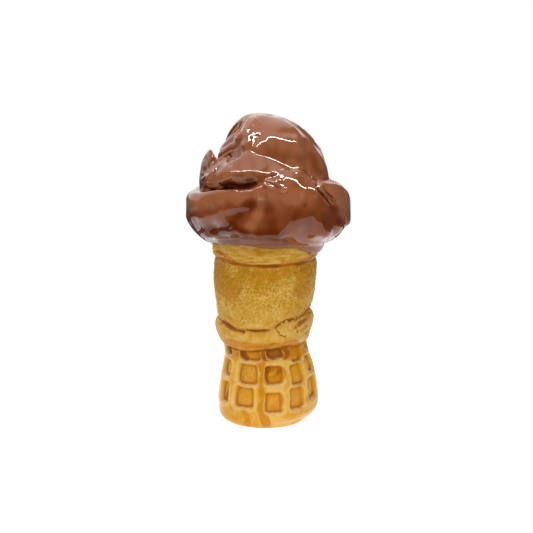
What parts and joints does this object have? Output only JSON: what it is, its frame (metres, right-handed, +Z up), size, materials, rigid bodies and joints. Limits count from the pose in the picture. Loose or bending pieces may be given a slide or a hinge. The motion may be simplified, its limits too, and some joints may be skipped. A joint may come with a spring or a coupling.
{
  "type": "ceramic ice cream cone",
  "caption": "Glazed ceramic copy of an ice cream cone: a folded chocolate scoop on a flat-footed wafer cup with a rolled collar and a latticed foot.",
  "frame": {"origin": "on the ground, under the middle of the object's outline", "axes": "+Z up along the cone, +X to the right of the side with the open fold, -Y towards the viewer of that side"},
  "size_m": [0.0798, 0.0746, 0.1505],
  "materials": {
    "chocolate_glaze": "thick glossy chocolate-brown glaze, paler and rustier where it thins on edges",
    "honey_glaze": "satin honey-coloured glaze, amber where it pools in the pockets and seams"
  },
  "bodies": {
    "root": {"ice_cream": "chocolate_glaze", "wafer_cup": "honey_glaze"}
  },
  "joints": []
}
